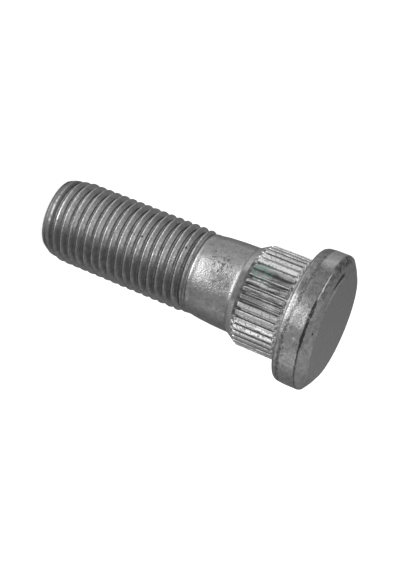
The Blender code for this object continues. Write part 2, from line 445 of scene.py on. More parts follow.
def make_knurl(base, knurl):
    """One tooth with half a groove at each side, copied round the stud."""
    pitch = 2 * math.pi / knurl.teeth
    outer = knurl.diameter / 2
    groove = outer - knurl.depth
    total = knurl.rise + knurl.full + knurl.fall
    rows = len(TOOTH_ROWS) - 1
    deselect_all()
    bpy.ops.mesh.primitive_grid_add(x_subdivisions=TOOTH_COLUMNS, y_subdivisions=rows, size=2)
    piece = bpy.context.object
    piece.name = "knurl"
    half_pitch = outer * pitch / 2
    full_width = 2 * half_pitch - knurl.groove
    for vert in piece.data.vertices:
        across = vert.co.x
        height = TOOTH_ROWS[round((vert.co.y + 1) / 2 * rows)] / TOOTH_ROWS[-1] * total
        left = (total - height) / knurl.fall
        width = knurl.point + (full_width - knurl.point) * min(1.0, height / knurl.rise)
        width *= rounded_end(left, reach=1.6, least=0.05)
        lift = min(1.0, height / knurl.climb) * rounded_end(left, reach=0.5)
        depth = tooth_depth(abs(across), width / 2 / half_pitch, knurl.wall / half_pitch)
        radius = groove + knurl.depth * lift * (1 - depth)
        turned = knurl.phase + pitch / 2 + across * pitch / 2
        vert.co = (radius * math.cos(turned), radius * math.sin(turned), base + height)
    bpy.ops.object.mode_set(mode="EDIT")
    bpy.ops.mesh.select_all(action="SELECT")
    bpy.ops.mesh.spin(
        steps=knurl.teeth - 1,
        angle=2 * math.pi - pitch,
        dupli=True,
        center=(0, 0, 0),
        axis=(0, 0, 1),
    )
    merge_close_points()
    end = base + total
    uneven_from = end - 1.4 * MM
    uneven_fully = end - 0.5 * MM
    most_uneven = 0.16 * MM
    worn_from = outer - 0.1 * MM

    def worn(radius, turned, height):
        if not base + KNURL_MARGIN <= height <= end - KNURL_MARGIN:
            return radius, turned, height
        near_end = share(height, uneven_from, uneven_fully)
        height += min((end - height) / 2, most_uneven) * swing(turned, waves=6, layer=3) * near_end
        if radius > worn_from:
            radius -= nick(radius, turned, height, scale=1.1, depth=0.05)
        return radius, turned, height

    move_points(piece, worn)
    return piece


def make_head(knurl, head):
    """Collar, fillet, seat, rounded edge, draft band, rim, seam, chamfer and outer face."""
    groove = knurl.diameter / 2 - knurl.depth
    seat = HEAD_END - head.thickness
    rim = HEAD_END - head.chamfer
    seam_floor = rim - SEAM_LOW
    face = head.face / 2
    drawn_in = HEAD_RADIUS - head.draft_depth
    half_seam = head.seam / 2
    corners = [
        (groove, seat - head.fillet - head.collar, 0, 0),
        (groove, seat, head.fillet, 5),
        (drawn_in, seat, head.seat_edge, 6),
        (HEAD_RADIUS, seat + head.seat_edge + head.draft, BAND_BEND, 2),
        (HEAD_RADIUS, rim - half_seam, SMALL_FILLET, 2),
        (HEAD_RADIUS - head.seam_depth, seam_floor, 0, 0),
        (HEAD_RADIUS - head.chamfer_edge, rim + half_seam + SEAM_HIGH, SMALL_FILLET, 2),
        (HEAD_RADIUS - head.bulge_in, rim + head.bulge_up, head.bulge, 3),
        (face, HEAD_END, head.face_edge, 3),
        (0.0, HEAD_END, 0, 0),
    ]
    points = divided(filleted(corners), LONGEST_STEP)
    # The flat face needs only every fifth ring
    flat_from = face - 1.0 * MM
    inner = [point for point in points if point.x < flat_from]
    kept = [point for point in points if point.x >= flat_from] + inner[3:-1:5] + [inner[-1]]
    piece = turn("head", kept, HEAD_COLUMNS)
    worn_from_radius = face + 0.1 * MM
    worn_from_height = seat + 0.2 * MM
    groove_reach = 0.08 * MM
    filling = 0.06 * MM
    wave_reach = 0.3 * MM
    wave = 0.07 * MM

    def worn(radius, turned, height):
        if radius < worn_from_radius or height < worn_from_height:
            return radius, turned, height
        in_groove = max(0.0, 1 - abs(height - seam_floor) / groove_reach)
        # The angle from -Y in degrees, from -180 to 180, as the marks count it
        around = (math.degrees(turned) + 270) % 360 - 180
        # Beside the seam's painted glint the seam is filled up, and at the lower side it is shallow
        filled = share(around, -8, -16) + 0.6 * share(around, 28, 42)
        radius = min(HEAD_RADIUS, radius + filling * filled * in_groove)
        near_seam = max(0.0, 1 - abs(height - rim) / wave_reach)
        height += wave * swing(turned, waves=7, layer=1) * near_seam
        broad = nick(radius, turned, height, scale=0.8, depth=0.05)
        fine = nick(radius, turned, height, scale=2.2, depth=0.02)
        return radius - broad - fine, turned, height

    move_points(piece, worn)
    return piece


def edge_uses(mesh):
    """How many faces use each edge."""
    return Counter(key for face in mesh.polygons for key in face.edge_keys)


def select_open_rings(piece, *heights):
    """Selects the open edges that lie within a whisker of the given heights."""
    mesh = piece.data
    used = edge_uses(mesh)
    for edge in mesh.edges:
        middle = sum(mesh.vertices[i].co.z for i in edge.vertices) / 2
        close = any(abs(middle - height) < 0.01 * MM for height in heights)
        edge.select = close and used[edge.key] == 1


def bridge_rings(piece, *heights):
    """Bridges two open rings of a joined piece, given by their heights, or closes a single one."""
    for part in (piece.data.vertices, piece.data.polygons):
        part.foreach_set("select", [False] * len(part))
    bpy.ops.object.mode_set(mode="EDIT")
    bpy.ops.mesh.select_mode(type="EDGE")
    bpy.ops.mesh.select_all(action="DESELECT")
    bpy.ops.object.mode_set(mode="OBJECT")
    select_open_rings(piece, *heights)
    bpy.ops.object.mode_set(mode="EDIT")
    if len(heights) == 1:
        bpy.ops.mesh.edge_face_add()
    else:
        bpy.ops.mesh.bridge_edge_loops()
    bpy.ops.object.mode_set(mode="OBJECT")


class WHEELSTUD_OT_stud(bpy.types.Operator):
    """Model the stud from its thread end to its head as one closed surface"""

    bl_idname = "wheelstud.stud"
    bl_label = "Wheel Stud"

    def execute(self, context):
        scene = context.scene
        thread, shank, knurl, head = scene.stud_thread, scene.stud_shank, scene.stud_knurl, scene.stud_head
        places = find_places(thread, shank, knurl, head)
        knurl_start = places.knurl * MM
        parts = [
            make_thread(thread, shank.neck / 2),
            make_shank(thread, shank, knurl),
            make_knurl(knurl_start, knurl),
            make_head(knurl, head),
        ]
        deselect_all()
        for part in parts:
            part.select_set(True)
        piece = parts[0]
        context.view_layer.objects.active = piece
        bpy.ops.object.join()
        piece.name = "stud_surface"
        merge_close_points()
        bridge_rings(piece, knurl_start - CONE_GAP, knurl_start)
        bridge_rings(piece, places.knurl_end * MM, places.seat * MM - head.fillet - head.collar)
        bridge_rings(piece, 0.0)
        bpy.ops.object.mode_set(mode="EDIT")
        bpy.ops.mesh.select_all(action="SELECT")
        bpy.ops.mesh.normals_make_consistent(inside=False)
        bpy.ops.object.mode_set(mode="OBJECT")
        if any(uses != 2 for uses in edge_uses(piece.data).values()):
            raise RuntimeError("The stud's surface isn't closed, so its sizes don't fit each other")
        bpy.ops.object.shade_smooth_by_angle(angle=SMOOTH_BELOW)
        for finish in FINISHES:
            piece.data.materials.append(zinc_finish(finish, scene.stud_finish, thread, places))
        for face in piece.data.polygons:
            face.material_index = finish_index(face.center, places)
        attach(piece, "root")
        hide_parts(NODE)
        return {"FINISHED"}


def add_group(name, inputs, outputs):
    """An empty node group with float sockets, and its input and output nodes."""
    group = bpy.data.node_groups.new(name, "ShaderNodeTree")
    for label, value in inputs.items():
        socket = group.interface.new_socket(label, in_out="INPUT", socket_type="NodeSocketFloat")
        socket.default_value = value
    for label in outputs:
        group.interface.new_socket(label, in_out="OUTPUT", socket_type="NodeSocketFloat")
    return group, group.nodes.new("NodeGroupInput").outputs, group.nodes.new("NodeGroupOutput").inputs


def connect(tree, source, target):
    """Links an output to an input socket, or writes a plain value into the input."""
    if isinstance(source, (int, float, Vector)):
        target.default_value = source
    else:
        tree.links.new(source, target)


def calculate(tree, operation, *values):
    """The result of one Math node."""
    node = tree.nodes.new("ShaderNodeMath")
    node.operation = operation
    for value, socket in zip(values, node.inputs):
        connect(tree, value, socket)
    return node.outputs[0]


def calculate_vector(tree, operation, first, second):
    """The outputs of one Vector Math node, Vector and Value."""
    node = tree.nodes.new("ShaderNodeVectorMath")
    node.operation = operation
    connect(tree, first, node.inputs[0])
    connect(tree, second, node.inputs[1])
    return node.outputs


def product(tree, *values):
    """All the values, multiplied."""
    result = values[0]
    for value in values[1:]:
        result = calculate(tree, "MULTIPLY", result, value)
    return result


def most(tree, *values):
    """The largest of the values."""
    result = values[0]
    for value in values[1:]:
        result = calculate(tree, "MAXIMUM", result, value)
    return result


def inverse(tree, mask):
    """1 where the mask is 0, and 0 where it is 1."""
    return calculate(tree, "SUBTRACT", 1.0, mask)


def between(tree, mask, low, high):
    """low where the mask is 0, high where it is 1, and straight between."""
    return calculate(tree, "MULTIPLY_ADD", mask, high - low, low)


def fade(tree, value, low, high):
    """0 where the value is at low, 1 where it is at high, with a soft step between."""
    node = tree.nodes.new("ShaderNodeMapRange")
    node.interpolation_type = "SMOOTHSTEP"
    connect(tree, value, node.inputs["Value"])
    connect(tree, low, node.inputs["From Min"])
    connect(tree, high, node.inputs["From Max"])
    return node.outputs["Result"]


def band(tree, value, start, end, soft):
    """1 between start and end, with soft ends."""
    rise = fade(tree, value, start - soft, start + soft)
    fall = fade(tree, value, end + soft, end - soft)
    return product(tree, rise, fall)


def line(tree, value, centre, half_width, soft):
    """1 where the value lies within half a width of the centre, and 0 from a soft edge outwards."""
    apart = calculate(tree, "ABSOLUTE", calculate(tree, "SUBTRACT", value, centre))
    return fade(tree, apart, calculate(tree, "ADD", half_width, soft), half_width)


def patch(tree, place, strength=1.0, **spans):
    """Strength where every named output of place is in its (start, end, softness), 0 elsewhere."""
    bands = [band(tree, place[label], *span) for label, span in spans.items()]
    return product(tree, *bands, strength)


def noise_value(tree, vector, scale, detail=2.0, roughness=0.6):
    """Soft noise around 0.5."""
    node = tree.nodes.new("ShaderNodeTexNoise")
    connect(tree, vector, node.inputs["Vector"])
    connect(tree, scale, node.inputs["Scale"])
    node.inputs["Detail"].default_value = detail
    node.inputs["Roughness"].default_value = roughness
    return node.outputs["Fac"]


def millimetres(tree):
    """Object coordinates in millimetres."""
    node = tree.nodes.new("ShaderNodeMapping")
    connect(tree, tree.nodes.new("ShaderNodeTexCoord").outputs["Object"], node.inputs["Vector"])
    node.inputs["Scale"].default_value = (1 / MM, 1 / MM, 1 / MM)
    return node.outputs["Vector"]


def combined(tree, x, y, z):
    """A vector from three values."""
    node = tree.nodes.new("ShaderNodeCombineXYZ")
    for value, socket in zip((x, y, z), node.inputs):
        connect(tree, value, socket)
    return node.outputs["Vector"]


def use_group(tree, builder, name, **values):
    """Places a shared node group in a material, built at its first use, with its own values."""
    node = tree.nodes.new("ShaderNodeGroup")
    node.node_tree = bpy.data.node_groups.get(name) or builder(name)
    for label, value in values.items():
        connect(tree, value, node.inputs[label])
    return node.outputs


def place_group(name):
    """Where a point lies, in millimetres, by its angle from -Y in degrees and along the thread's helix."""
    labels = ("Radius", "Height", "Side", "Around", "Climb", "Phase")
    group, given, out = add_group(name, {"Pitch": 1.0, "Start": 0.0}, labels)
    split = group.nodes.new("ShaderNodeSeparateXYZ")
    connect(group, millimetres(group), split.inputs["Vector"])
    x, y, height = split.outputs
    squares = calculate(group, "ADD", product(group, x, x), product(group, y, y))
    around = calculate(group, "DEGREES", calculate(group, "ARCTAN2", x, product(group, y, -1.0)))
    turned = product(group, calculate(group, "ARCTAN2", y, x), 1 / (2 * math.pi))
    turns = calculate(group, "DIVIDE", calculate(group, "SUBTRACT", height, given["Start"]), given["Pitch"])
    risen = product(group, around, 1 / 360, given["Pitch"])
    values = {
        "Radius": calculate(group, "SQRT", squares),
        "Height": height,
        "Side": x,
        "Around": around,
        "Climb": calculate(group, "SUBTRACT", height, risen),
        "Phase": calculate(group, "FRACT", calculate(group, "SUBTRACT", turns, turned)),
    }
    for label, value in values.items():
        connect(group, value, out[label])
    return group


def grain_group(name):
    """Grain of the zinc coating: a height for bump, a tone around 0.5 and a mask of dark specks."""
    group, given, out = add_group(name, {"Fine": 5.0, "Coarse": 1.5}, ["Height", "Tone", "Specks"])
    where = millimetres(group)
    fine = noise_value(group, where, given["Fine"])
    coarse = noise_value(group, where, given["Coarse"], 3.0)
    mean = calculate(group, "ADD", product(group, fine, 0.5), product(group, coarse, 0.5))
    connect(group, fine, out["Height"])
    connect(group, fade(group, mean, 0.36, 0.64), out["Tone"])
    sparse = product(group, fade(group, fine, 0.60, 0.70), fade(group, coarse, 0.48, 0.62))
    connect(group, sparse, out["Specks"])
    return group


def blotch_group(name):
    """Uneven stains: a mask from noise, above a level and with an edge of a given softness."""
    inputs = {"Scale": 0.6, "Level": 0.55, "Softness": 0.1, "Across": 1.0, "Along": 1.0}
    group, given, out = add_group(name, inputs, ["Mask"])
    stretch = combined(group, given["Across"], given["Across"], given["Along"])
    where = calculate_vector(group, "MULTIPLY", millimetres(group), stretch)["Vector"]
    value = noise_value(group, where, given["Scale"], 4.0)
    high = calculate(group, "ADD", given["Level"], given["Softness"])
    connect(group, fade(group, value, given["Level"], high), out["Mask"])
    return group


def spot_group(name):
    """A ragged spot: 1 in the middle of a ball given by its centre and size in millimetres, 0 outside."""
    inputs = {"X": 0.0, "Y": 0.0, "Z": 0.0, "Size": 1.0, "Ragged": 0.5}
    group, given, out = add_group(name, inputs, ["Mask"])
    where = millimetres(group)
    centre = combined(group, given["X"], given["Y"], given["Z"])
    apart = calculate_vector(group, "DISTANCE", where, centre)["Value"]
    uneven = calculate(group, "SUBTRACT", noise_value(group, where, 2.0, 3.0), 0.5)
    reach = product(group, uneven, given["Ragged"], given["Size"], 2.0)
    far = calculate(group, "ADD", apart, reach)
    core = product(group, given["Size"], 0.5)
    connect(group, fade(group, far, given["Size"], core), out["Mask"])
    return group


def spot(tree, around, radius, height, size, ragged=0.5):
    """A ragged spot at an angle from -Y in degrees, a radius and a height."""
    x = radius * math.sin(math.radians(around))
    y = -radius * math.cos(math.radians(around))
    return use_group(tree, spot_group, "spot", X=x, Y=y, Z=height, Size=size, Ragged=ragged)["Mask"]


def blotches(tree, scale, level, softness, across=1.0, along=1.0):
    """Uneven stains that are finer the larger the scale and rarer the higher the level."""
    values = {"Scale": scale, "Level": level, "Softness": softness, "Across": across, "Along": along}
    return use_group(tree, blotch_group, "blotches", **values)["Mask"]


class Marks(NamedTuple):
    """Masks that darken, brighten, dent and tint the coating where they are above 0."""

    dark: object
    bright: object = 0.0
    dent: object = 0.0
    smear: object = 0.0


# Pits on the thread: angle from -Y, height, depth of the middle below the crests, size
THREAD_PITS = (
    (-23.1, 21.5, 0.066, 0.22),
    (-13.8, 15.2, 0.066, 0.15),
    (-5.9, 19.6, 0.104, 0.18),
    (-11.9, 13.4, 0.110, 0.18),
)
# Pits on the shank: angle from -Y, distance below the lead cone, size, raggedness
SHANK_PITS = (
    (-24.2, 4.47, 0.14, 0.8),
    (-34.5, 4.46, 0.18, 1.0),
    (-27.4, 2.28, 0.22, 1.2),
    (-20.2, 2.48, 0.18, 1.2),
    (-13.8, 2.59, 0.15, 1.2),
    (-10.0, 2.83, 0.15, 1.2),
    (-9.1, 1.61, 0.13, 1.0),
    (-64.7, 2.80, 0.20, 1.0),
)


def thread_marks(tree, place, at):
    """Root grime; painted shade in roots, on one side and the tip; painted glints on crests and run-out;
    pits.
    """
    around = place["Around"]
    sides = most(tree, fade(tree, around, -35.0, -55.0), fade(tree, around, 20.0, 40.0))
    lower = patch(tree, place, Around=(22.0, 85.0, 18.0))
    stipple = between(tree, blotches(tree, 4.0, 0.42, 0.12), 0.3, 0.6)
    pits = [
        spot(tree, turned, at.crest_radius - depth, height, size)
        for turned, height, depth, size in THREAD_PITS
    ]
    pitted = most(tree, *pits)
    # In turn: grime and painted shade in the roots and their corners, painted shade on the tip-facing
    # flanks,
    # the lower side and its roots and the tip end, pits, and painted shade in the run-out's groove
    dark = most(
        tree,
        product(tree, patch(tree, place, Phase=(0.42, 0.60, 0.03)), stipple),
        product(tree, patch(tree, place, 0.95, Phase=(0.44, 0.56, 0.02)), sides),
        product(tree, patch(tree, place, Phase=(0.35, 0.47, 0.025)), fade(tree, around, 15.0, -25.0)),
        patch(tree, place, 0.7, Phase=(0.385, 0.46, 0.025)),
        patch(tree, place, 0.45, Phase=(0.80, 0.93, 0.02)),
        patch(tree, place, 0.45, Phase=(0.86, 0.94, 0.015)),
        product(tree, lower, 0.45),
        product(tree, lower, patch(tree, place, 0.85, Phase=(0.42, 0.66, 0.03))),
        product(tree, fade(tree, place["Height"], 2.6, 1.4), 0.54),
        pitted,
        product(
            tree,
            line(tree, place["Climb"], at.runout - 0.29, 0.06, 0.06),
            patch(tree, place, 0.9, Around=(-40.0, 60.0, 8.0)),
        ),
    )
    # Painted glints on the crests' edges, kept off the sides that get painted shade
    crest = most(tree, fade(tree, place["Phase"], 0.085, 0.055), fade(tree, place["Phase"], 0.97, 0.99))
    lit = inverse(tree, most(tree, lower, product(tree, sides, 0.6)))
    painted_crest_glints = product(tree, crest, blotches(tree, 5.0, 0.47, 0.08), lit, 1.3)
    # Painted highlights on two edges at the run-out
    painted_runout_glints = most(
        tree,
        line(tree, place["Climb"], at.runout - 0.12, 0.04, 0.05),
        line(tree, place["Climb"], at.runout - 0.84, 0.05, 0.05),
    )
    painted_runout_glints = product(tree, painted_runout_glints, patch(tree, place, 0.9, Around=(-24.0, 18.0, 6.0)))
    return Marks(dark, bright=most(tree, painted_crest_glints, painted_runout_glints), dent=product(tree, pitted, 2.0))


def shank_marks(tree, place, at):
    """Pits, painted shade mottled in the middle, on the sides and the cone's front, and painted highlights.
    """
    cluster = spot(tree, -18.4, at.shank_radius + 0.02, at.cone - 2.8, 1.9)
    pits = [
        spot(tree, turned, at.shank_radius - 0.01, at.cone - below, size, ragged)
        for turned, below, size, ragged in SHANK_PITS
    ]
    fine_pits = product(tree, blotches(tree, 3.6, 0.56, 0.05), between(tree, cluster, 0.05, 0.90))
    pitted = most(tree, fine_pits, *pits)
    front = patch(tree, place, Around=(-22.0, 17.0, 5.0))
    on_cone = patch(tree, place, Height=(at.cone + 0.15, at.knurl + 0.15, 0.1))
    on_shank = fade(tree, place["Height"], at.cone + 0.15, at.cone - 0.05)
    middle = patch(tree, place, Around=(-8.0, 9.0, 5.0), Height=(at.cone - 3.7, at.cone - 0.5, 0.5))
    # In turn: pits, painted shade on the cone's front, on the sides towards +X and -X, and mottled on the
    # middle
    dark = most(
        tree,
        product(tree, pitted, 0.7),
        product(tree, on_cone, front, 0.73),
        product(tree, on_shank, patch(tree, place, 0.38, Around=(20.0, 80.0, 14.0))),
        product(tree, on_shank, patch(tree, place, 0.36, Around=(-52.0, -22.5, 6.0))),
        product(tree, middle, between(tree, blotches(tree, 2.4, 0.42, 0.16), 0.24, 0.54)),
    )
    # Painted highlights on the bead's edge and on the lead cone beside its front, stronger towards -X
    towards_side = between(tree, fade(tree, place["Around"], 0.0, -30.0), 0.32, 0.67)
    bead = patch(tree, place, 0.5, Height=(at.cone - 0.3, at.cone, 0.06), Around=(-3.0, 18.0, 7.0))
    bright = most(tree, bead, product(tree, on_cone, inverse(tree, front), towards_side))
    return Marks(dark, bright, dent=product(tree, pitted, 1.5))


def knurl_marks(tree, place, at):
    """Painted shade on walls, tooth starts and a scratched side, painted light on bare tooth tops, a smear.
    """
    around = place["Around"]
    height = place["Height"]
    radius = place["Radius"]
    # The side facing -Y, which gets painted shade with scratches, and the rest beside it
    facing_middle = patch(tree, place, Around=(-31.0, 14.0, 3.0))
    beside_middle = inverse(tree, facing_middle)
    starts = patch(tree, place, Height=(at.knurl - 0.35, at.knurl + 1.05, 0.3), Around=(-38.0, 34.0, 7.0))
    on_wall = fade(tree, radius, at.tooth_radius - 0.055, at.tooth_radius - 0.115)
    specks = product(tree, blotches(tree, 3.4, 0.55, 0.05), 0.6)
    deepest = product(
        tree,
        most(
            tree,
            patch(tree, place, Around=(-31.0, -18.0, 3.0)),
            product(
                tree,
                patch(tree, place, Around=(1.0, 14.0, 3.0)),
                fade(tree, height, at.knurl + 4.65, at.knurl + 2.65),
            ),
        ),
        fade(tree, height, at.knurl_end - 0.15, at.knurl_end - 0.55),
    )
    walls = patch(
        tree,
        place,
        Radius=(at.tooth_radius - 0.275, at.tooth_radius - 0.095, 0.03),
        Height=(at.knurl + 0.15, at.knurl_end - 0.45, 0.2),
    )
    # Painted shade on the groove walls, a little less on the side facing -Y and much less near -40 degrees
    wall_shade = between(tree, beside_middle, 0.86, 0.96)
    wall_shade = calculate(tree, "SUBTRACT", wall_shade, patch(tree, place, 0.4, Around=(-47.0, -34.0, 3.0)))
    scratches = blotches(tree, 1.0, 0.47, 0.06, across=6.5, along=0.22)
    front = patch(tree, place, Around=(-95.0, 85.0, 12.0))
    # In turn: painted shade on groove walls, painted shade with scratches on the side facing -Y,
    # painted shade at tooth starts, specks, the darker far side and the dirtiest teeth
    dark = most(
        tree,
        product(tree, walls, wall_shade),
        product(tree, facing_middle, between(tree, scratches, 0.22, 0.98)),
        product(tree, starts, between(tree, on_wall, 0.38, 1.0)),
        specks,
        product(tree, inverse(tree, front), 0.3),
        product(tree, deepest, 0.68),
    )
    streaks = blotches(tree, 1.0, 0.53, 0.05, across=7.5, along=0.4)
    rubbed = product(tree, facing_middle, streaks, inverse(tree, starts), between(tree, deepest, 1.0, 0.2), 1.2)
    # Tooth tops: bare, with a painted reflection beside the side facing -Y, stronger past -40 degrees
    tops = product(
        tree,
        fade(tree, radius, at.tooth_radius - 0.115, at.tooth_radius - 0.065),
        beside_middle,
        front,
        between(tree, fade(tree, around, -32.0, -42.0), 0.6, 0.9),
        inverse(tree, product(tree, specks, 1.2)),
    )
    smear = product(
        tree,
        spot(tree, -25.8, at.tooth_radius - 0.02, at.knurl + 1.85, 1.7, 0.7),
        blotches(tree, 1.3, 0.40, 0.12),
        0.7,
    )
    return Marks(dark, bright=most(tree, rubbed, tops), dent=specks, smear=smear)


def head_marks(tree, place, at):
    """A ragged dark seam with a painted glint, a mottled rim in painted light and shade, chamfer stains."""
    around = place["Around"]
    height = place["Height"]
    ragged = calculate(tree, "SUBTRACT", noise_value(tree, millimetres(tree), 2.2, 3.0, 0.65), 0.5)
    wavy = calculate(tree, "MULTIPLY_ADD", ragged, 0.35, height)
    uneven = calculate(tree, "MULTIPLY_ADD", ragged, 0.9, height)
    mottle = blotches(tree, 3.0, 0.43, 0.12)
    patchy = between(tree, blotches(tree, 2.0, 0.42, 0.16), 0.2, 0.62)
    below_seam = fade(tree, height, at.seam + 0.16, at.seam - 0.04)
    near_side = product(tree, fade(tree, around, -100.0, -75.0), below_seam)

    seam_width = between(tree, patch(tree, place, Around=(-12.0, 24.0, 7.0)), 0.03, 0.14)
    seam = product(
        tree,
        line(tree, wavy, at.seam + 0.02, seam_width, 0.07),
        fade(tree, around, -17.0, -11.0),
        between(tree, fade(tree, around, 26.0, 45.0), 0.95, 0.60),
    )
    rim_middle = between(tree, fade(tree, around, -12.0, 22.0), at.seat + 1.35, at.seat + 0.87)
    rim_line = product(tree, line(tree, uneven, rim_middle, 0.10, 0.20), between(tree, mottle, 0.3, 0.75))
    specks = product(
        tree,
        patch(tree, place, 0.55, Height=(at.seat + 1.0, at.seam - 0.04, 0.2)),
        blotches(tree, 3.2, 0.60, 0.05),
    )
    streak_width = between(tree, fade(tree, around, -32.0, -52.0), 0.03, 0.15)
    # In turn: seam, rim line, specks, seat edge, chamfer stains, streak and speck, painted shade on rim and
    # band
    dark = most(
        tree,
        seam,
        rim_line,
        specks,
        product(tree, line(tree, height, at.seat + 0.24, 0.03, 0.05), 0.6),
        product(
            tree,
            patch(tree, place, Height=(at.seam - 0.09, at.seam + 0.66, 0.16), Around=(-80.0, -42.0, 8.0)),
            patchy,
            1.3,
        ),
        product(
            tree,
            patch(tree, place, Height=(at.seam + 0.11, at.seam + 0.66, 0.12), Around=(-52.0, -14.0, 6.0)),
            patchy,
        ),
        product(
            tree,
            line(tree, place["Radius"], at.face_radius + 0.55, streak_width, 0.09),
            patch(tree, place, 0.97, Around=(-56.0, -31.0, 4.0)),
            blotches(tree, 1.4, 0.30, 0.1),
        ),
        spot(tree, 13.6, at.face_radius + 0.80, at.end - 0.38, 0.22),
        # Painted shade on the rim and the band, from about -16 degrees towards -X
        product(
            tree,
            fade(tree, around, -2.0, -20.0),
            fade(tree, height, at.seat + 1.0, at.seat + 1.3),
            near_side,
            between(tree, fade(tree, around, -38.0, -52.0), 0.56, 0.02),
        ),
        product(
            tree,
            fade(tree, around, -10.0, -16.0),
            patch(tree, place, Height=(at.seat + 0.45, at.seat + 1.15, 0.12)),
            near_side,
            between(tree, fade(tree, around, -22.0, -30.0), 0.66, 0.42),
        ),
    )

    # A painted glint just above the seam, broken up, between about -38 and -15 degrees
    painted_seam_glint = product(
        tree,
        line(tree, wavy, at.seam + 0.08, 0.035, 0.035),
        patch(tree, place, 1.7, Around=(-38.0, -15.0, 3.0)),
        blotches(tree, 3.5, 0.36, 0.1),
    )
    # In turn, all painted light: a glint above the seam, two lit spots, the band's highlight,
    # a highlight on the chamfer by the face's edge and two lit patches
    bright = most(
        tree,
        painted_seam_glint,
        product(
            tree,
            spot(tree, 3.0, at.rim_radius - 0.04, at.seat + 2.2, 1.7, 0.8),
            blotches(tree, 3.0, 0.42, 0.1),
        ),
        product(
            tree,
            spot(tree, 20.5, at.rim_radius, at.seat + 2.4, 0.5, 0.6),
            blotches(tree, 4.0, 0.52, 0.05),
        ),
        product(
            tree,
            patch(tree, place, Around=(-11.0, 22.0, 5.0)),
            fade(tree, uneven, rim_middle, at.seat + 0.8),
            between(tree, blotches(tree, 3.4, 0.50, 0.12), 0.1, 1.3),
        ),
        patch(
            tree,
            place,
            0.3,
            Radius=(at.face_radius + 0.12, at.face_radius + 0.38, 0.08),
            Around=(-52.0, -14.0, 8.0),
        ),
        patch(tree, place, 0.45, Around=(-98.0, -46.0, 7.0), Height=(at.seat + 1.5, at.seam - 0.14, 0.15)),
        patch(tree, place, 0.55, Around=(-5.0, 10.0, 3.0), Height=(at.seat + 0.9, at.seat + 2.6, 0.3)),
    )
    return Marks(dark, bright, dent=most(tree, seam, rim_line, specks))


def face_marks(tree, place, at):
    """A face that is a little darker towards -X."""
    reach = 1.2 * at.face_radius
    return Marks(product(tree, fade(tree, place["Side"], reach, -reach), 0.2))


class Finish(NamedTuple):
    """A finish: its grey's setting, how far that varies, roughness, bump in millimetres and marks."""

    name: str
    setting: str
    spread: float
    roughness: float
    bump: float
    marks: object


FINISHES = (
    Finish("zinc_thread", "thread", spread=0.20, roughness=0.30, bump=0.03, marks=thread_marks),
    Finish("zinc_shank", "shank", spread=0.20, roughness=0.28, bump=0.06, marks=shank_marks),
    Finish("zinc_knurl", "knurl", spread=0.12, roughness=0.25, bump=0.02, marks=knurl_marks),
    Finish("zinc_head", "head", spread=0.24, roughness=0.40, bump=0.05, marks=head_marks),
    Finish("zinc_face", "face", spread=0.08, roughness=0.60, bump=0.01, marks=face_marks),
)
THREAD, SHANK, KNURL, HEAD, FACE = range(len(FINISHES))

# Share of the coating's brightness that a dark mark and a speck of the grain take away
MARK_COVER = 0.8
SPECK_COVER = 0.45
# Brightness that a bright mark adds
SHINE = 0.38
# Roughness that a dark mark adds, and that the light places of the grain take away
MARK_ROUGHNESS = 0.3
TONE_ROUGHNESS = 0.1


def tinted(tree, mask, value, tint):
    """A grey value, replaced by the tint where the mask is 1."""
    node = tree.nodes.new("ShaderNodeMix")
    node.data_type = "RGBA"
    colours = [socket for socket in node.inputs if socket.type == "RGBA"]
    connect(tree, mask, node.inputs["Factor"])
    connect(tree, value, colours[0])
    colours[1].default_value = (*tint, 1.0)
    return next(socket for socket in node.outputs if socket.type == "RGBA")


def zinc_finish(finish, settings, thread, places):
    """A grainy zinc coating, darkened, brightened and dented where the marks say."""
    material = bpy.data.materials.new(finish.name)
    material.use_nodes = True
    tree = material.node_tree
    shader = tree.nodes["Principled BSDF"]
    shader.inputs["Metallic"].default_value = 1.0
    grain = use_group(tree, grain_group, "zinc_grain")
    place = use_group(tree, place_group, "stud_place", Pitch=thread.pitch / MM, Start=thread.start / MM)
    marks = finish.marks(tree, place, places)
    level = getattr(settings, finish.setting)
    tone = between(tree, grain["Tone"], level * (1 - finish.spread), level * (1 + finish.spread))
    uncovered = inverse(tree, product(tree, marks.dark, MARK_COVER))
    shade = product(tree, tone, uncovered, between(tree, grain["Specks"], 1.0, 1 - SPECK_COVER))
    shade = calculate(tree, "MULTIPLY_ADD", marks.bright, SHINE, shade)
    if marks.smear:
        shade = tinted(tree, marks.smear, shade, settings.smear)
    connect(tree, shade, shader.inputs["Base Color"])
    rough = calculate(tree, "MULTIPLY_ADD", marks.dark, MARK_ROUGHNESS, finish.roughness)
    rough = calculate(tree, "MULTIPLY_ADD", grain["Tone"], -TONE_ROUGHNESS, rough)
    connect(tree, rough, shader.inputs["Roughness"])
    bump = tree.nodes.new("ShaderNodeBump")
    bump.inputs["Distance"].default_value = finish.bump * MM
    connect(tree, calculate(tree, "SUBTRACT", grain["Height"], marks.dent), bump.inputs["Height"])
    connect(tree, bump.outputs["Normal"], shader.inputs["Normal"])
    return material


def finish_index(middle, places):
    """Which finish a face gets, from its middle. The borders lie just beside the edges between regions."""
    height = middle.z / MM
    radius = math.hypot(middle.x, middle.y) / MM
    if height >= places.end - 0.02 and radius < places.face_radius - 0.1:
        return FACE
    if height > places.knurl_end + 0.02:
        return HEAD
    if height > places.knurl - CONE_GAP / MM:
        return KNURL
    return SHANK if height > places.runout - 0.05 else THREAD


